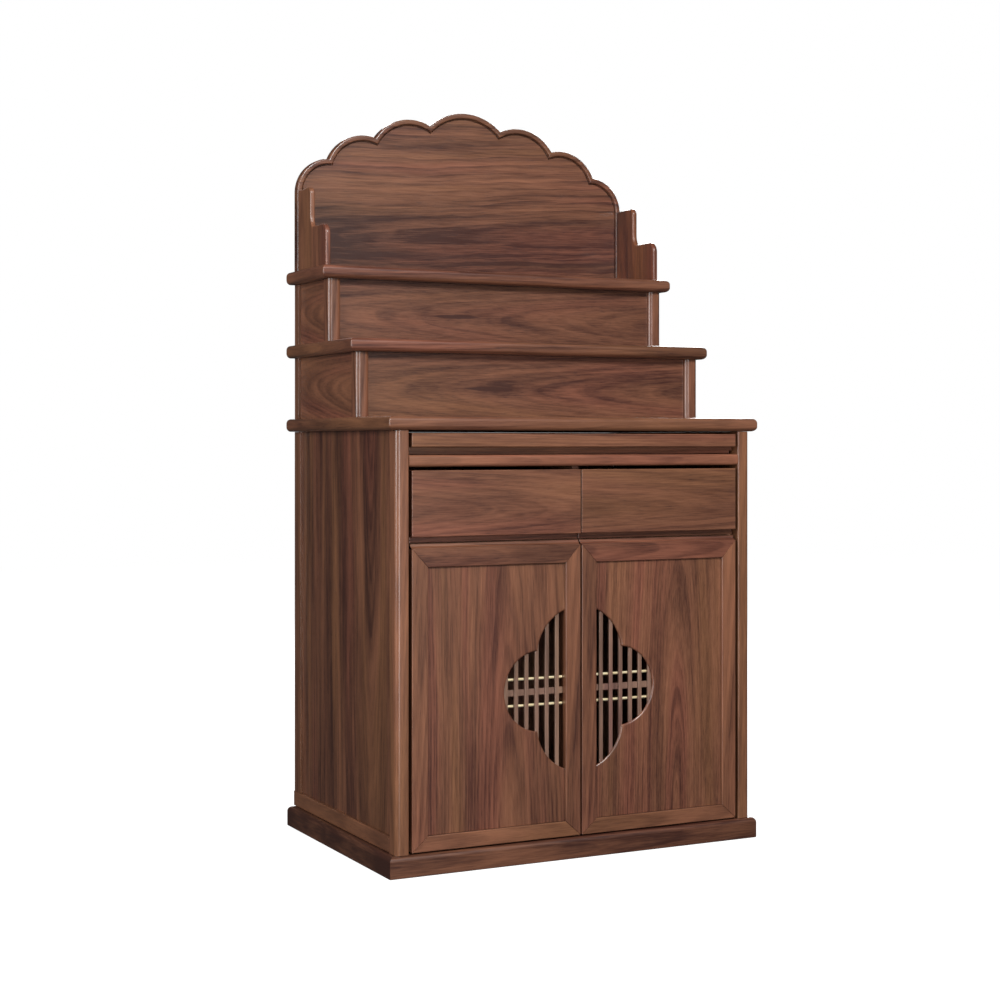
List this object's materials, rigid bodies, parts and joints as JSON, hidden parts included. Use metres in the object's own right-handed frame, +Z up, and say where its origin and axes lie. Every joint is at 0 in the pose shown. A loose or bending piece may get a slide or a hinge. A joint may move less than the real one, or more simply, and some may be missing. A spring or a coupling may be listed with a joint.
{
  "type": "household altar cabinet",
  "caption": "Two-door walnut altar cabinet with drawers, a pull-out offering tray, two rising steps, a scalloped backboard and a latticed window in the doors.",
  "frame": {"origin": "middle of the plinth's underside, on the floor", "axes": "+Z up, +X to the viewer's right, the doors and drawers look along -Y"},
  "size_m": [0.683, 0.4556, 1.2765],
  "materials": {
    "walnut": "satin varnish",
    "walnut_panel": "satin varnish",
    "inner_wood": "matt oil",
    "brass": "polished"
  },
  "bodies": {
    "cabinet": {"backboard": "walnut_panel", "cabinet_back": "inner_wood", "cabinet_floor": "inner_wood", "drawer_deck": "inner_wood", "drawer_divider": "inner_wood", "lower_step_back": "inner_wood", "lower_step_board": "walnut", "lower_step_front": "walnut_panel", "lower_step_post_front_left": "walnut", "lower_step_post_front_right": "walnut", "lower_step_post_rear_left": "walnut", "lower_step_post_rear_right": "walnut", "lower_step_side_left": "walnut_panel", "lower_step_side_right": "walnut_panel", "plinth_back": "walnut", "plinth_front": "walnut", "plinth_left": "walnut", "plinth_right": "walnut", "post_front_left": "walnut", "post_front_right": "walnut", "post_rear_left": "walnut", "post_rear_right": "walnut", "side_panel_left": "walnut_panel", "side_panel_right": "walnut_panel", "side_rail_left": "walnut", "side_rail_right": "walnut", "tray_deck": "walnut", "upper_step_back": "inner_wood", "upper_step_board": "walnut", "upper_step_front": "walnut_panel", "upper_step_post_front_left": "walnut", "upper_step_post_front_right": "walnut", "upper_step_post_rear_left": "walnut", "upper_step_post_rear_right": "walnut", "upper_step_side_left": "walnut_panel", "upper_step_side_right": "walnut_panel", "wing_left": "walnut", "wing_right": "walnut", "worktop": "walnut"},
    "door_left": {"door_left_bottom_rail": "walnut", "door_left_lattice": "walnut", "door_left_panel": "walnut_panel", "door_left_rod_lower": "brass", "door_left_rod_upper": "brass", "door_left_stile_hinge": "walnut", "door_left_stile_meeting": "walnut", "door_left_top_rail": "walnut"},
    "door_right": {"door_right_bottom_rail": "walnut", "door_right_lattice": "walnut", "door_right_panel": "walnut_panel", "door_right_rod_lower": "brass", "door_right_rod_upper": "brass", "door_right_stile_hinge": "walnut", "door_right_stile_meeting": "walnut", "door_right_top_rail": "walnut"},
    "drawer_left": {"drawer_left_box": "inner_wood", "drawer_left_front": "walnut"},
    "drawer_right": {"drawer_right_box": "inner_wood", "drawer_right_front": "walnut"},
    "tray": {"offering_tray": "walnut"}
  },
  "joints": [
    {"name": "tray_slide", "type": "slide", "parent": "cabinet", "child": "tray", "axis": [0, -1, 0], "range_m": [0, 0.3]},
    {"name": "drawer_left_slide", "type": "slide", "parent": "cabinet", "child": "drawer_left", "axis": [0, -1, 0], "range_m": [0, 0.3]},
    {"name": "drawer_right_slide", "type": "slide", "parent": "cabinet", "child": "drawer_right", "axis": [0, -1, 0], "range_m": [0, 0.3]},
    {"name": "door_left_hinge", "type": "hinge", "parent": "cabinet", "child": "door_left", "pos_m": [-0.303, -0.22175, 0.275], "axis": [0, 0, -1], "range_deg": [0, 105]},
    {"name": "door_right_hinge", "type": "hinge", "parent": "cabinet", "child": "door_right", "pos_m": [0.303, -0.22175, 0.275], "axis": [0, 0, 1], "range_deg": [0, 105]}
  ]
}
